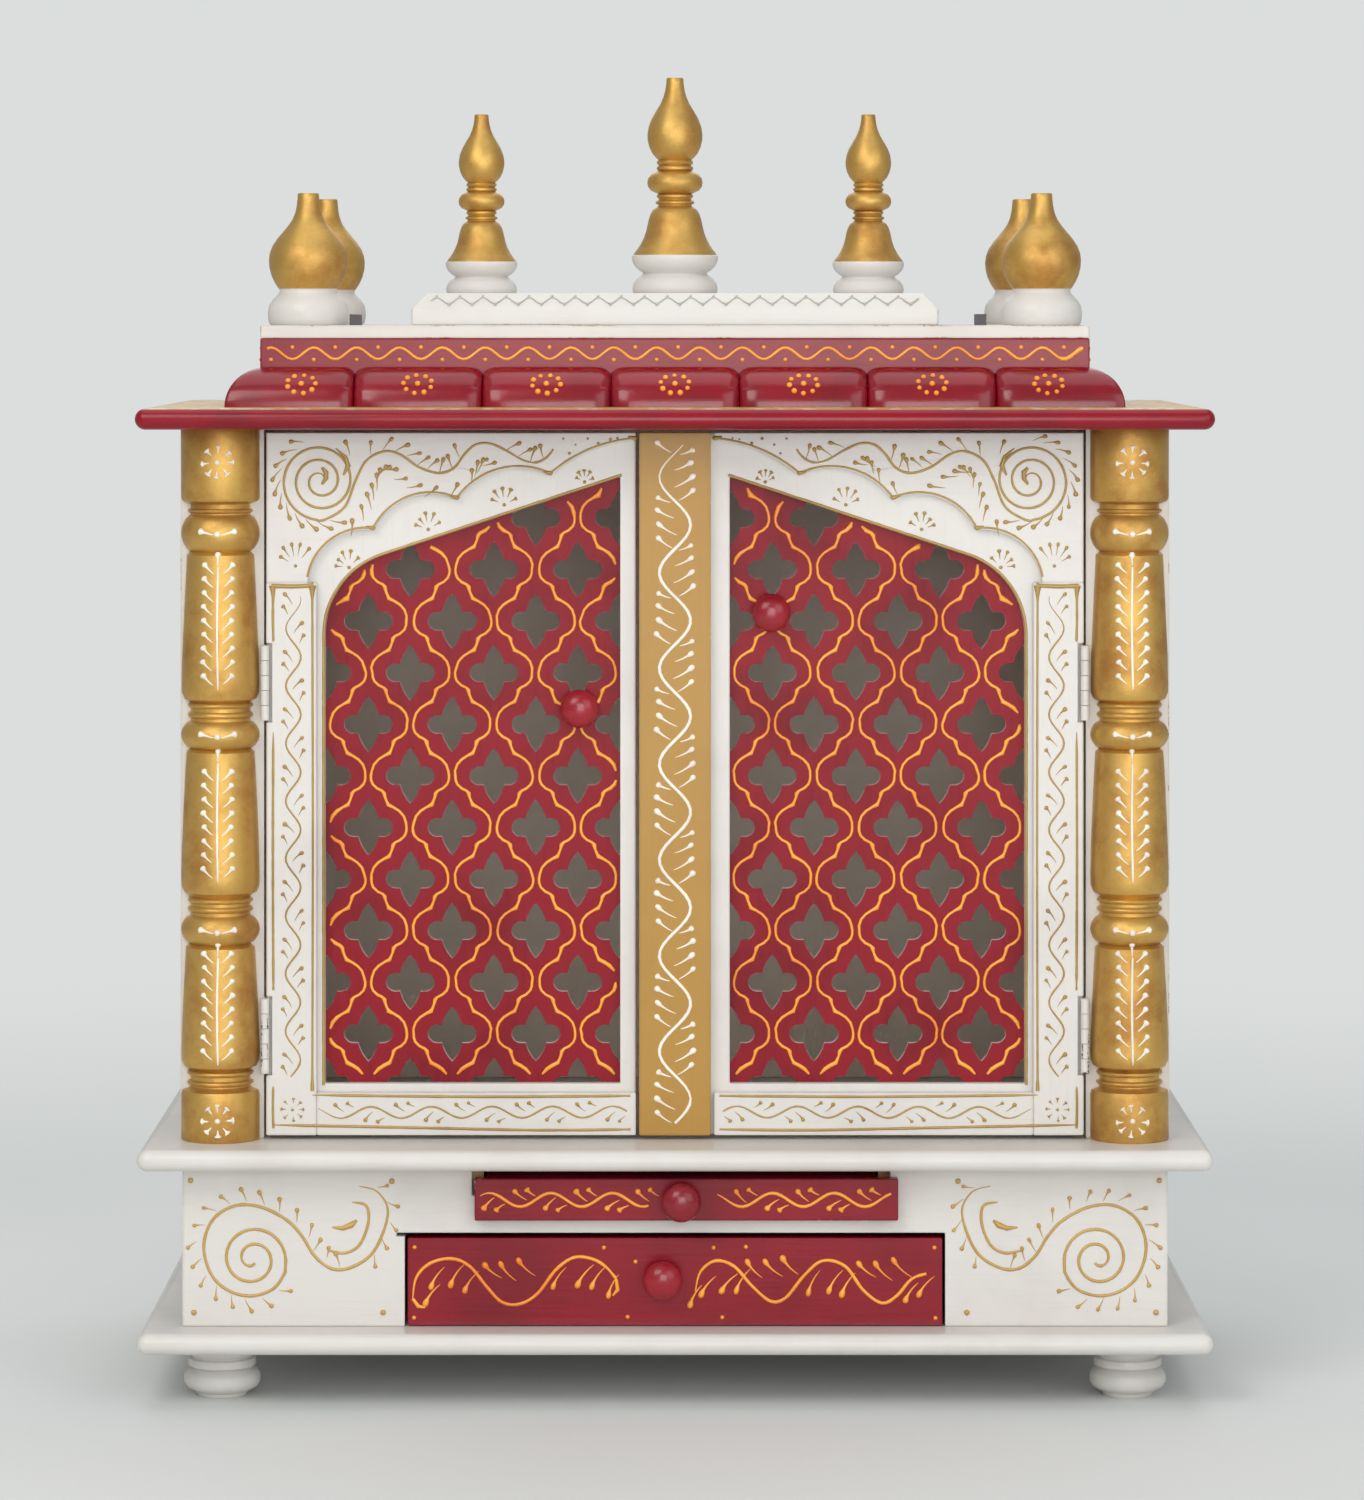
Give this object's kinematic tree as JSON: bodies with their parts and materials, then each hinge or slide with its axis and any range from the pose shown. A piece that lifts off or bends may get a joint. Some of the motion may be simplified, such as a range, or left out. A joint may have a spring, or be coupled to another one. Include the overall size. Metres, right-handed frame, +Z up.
{
  "type": "wooden household shrine",
  "caption": "Small standing wooden shrine with pierced double doors, turned columns, a pull-out tray, a drawer and a roof with turned finials.",
  "frame": {"origin": "on the floor, midway across and midway deep between the boards' front edge and the flush back", "axes": "+Z up; the doors and drawer face -Y; +X to the right as seen from the front"},
  "size_m": [0.612, 0.305, 0.762],
  "materials": {
    "white_paint": "satin white enamel over wood, brushed, chipped at some edges",
    "red_paint": "satin maroon enamel over wood, brushed",
    "gold_paint": "metallic gold paint over turned wood",
    "gold_strip_paint": "flat mustard gold paint over wood",
    "bare_wood": "sanded, unpainted",
    "painted_hinge": "steel butt hinge brushed over with white paint",
    "dark_metal": "dark oxidised steel"
  },
  "bodies": {
    "cabinet": {"feet": "white_paint", "base_board": "white_paint", "case_front": "white_paint", "case_sides": "white_paint", "case_back": "white_paint", "tray_runners": "bare_wood", "upper_board": "white_paint", "side_walls": "white_paint", "back_panel": "white_paint", "pilasters": "white_paint", "columns": "gold_paint", "eave_board": "red_paint", "pillow_moulding_front": "red_paint", "pillow_moulding_sides": "red_paint", "frieze_front": "red_paint", "frieze_sides": "red_paint", "frieze_back": "white_paint", "roof_slab": "white_paint", "roof_platform": "white_paint", "finial_bases": "white_paint", "centre_finial": "gold_paint", "side_finials": "gold_paint", "corner_finial_bases": "white_paint", "corner_finials": "gold_paint", "frame_hinge_leaves": "painted_hinge", "roof_clips": "dark_metal"},
    "left_door": {"left_door_board": "white_paint", "left_door_stile": "white_paint", "left_door_rail": "white_paint", "left_door_spandrel": "white_paint", "left_lattice": "red_paint", "left_door_knob": "red_paint", "left_hinge_leaves": "painted_hinge"},
    "right_door": {"right_door_board": "white_paint", "right_door_stile": "white_paint", "right_door_rail": "white_paint", "right_door_spandrel": "white_paint", "right_lattice": "red_paint", "right_door_knob": "red_paint", "right_hinge_leaves": "painted_hinge", "centre_strip": "gold_strip_paint"},
    "drawer": {"drawer_front": "red_paint", "drawer_sides": "bare_wood", "drawer_back": "bare_wood", "drawer_bottom": "bare_wood", "drawer_knob": "red_paint"},
    "tray": {"tray_board": "red_paint", "tray_front_strip": "red_paint", "tray_knob": "red_paint"}
  },
  "joints": [
    {"name": "left_door_hinge", "type": "hinge", "parent": "cabinet", "child": "left_door", "pos_m": [-0.2352, -0.108, 0.35], "axis": [0, 0, -1], "range_deg": [0, 100]},
    {"name": "right_door_hinge", "type": "hinge", "parent": "cabinet", "child": "right_door", "pos_m": [0.2352, -0.108, 0.35], "axis": [0, 0, 1], "range_deg": [0, 100]},
    {"name": "drawer_slide", "type": "slide", "parent": "cabinet", "child": "drawer", "axis": [0, -1, 0], "range_m": [0, 0.19]},
    {"name": "tray_slide", "type": "slide", "parent": "cabinet", "child": "tray", "axis": [0, -1, 0], "range_m": [0, 0.16]}
  ]
}
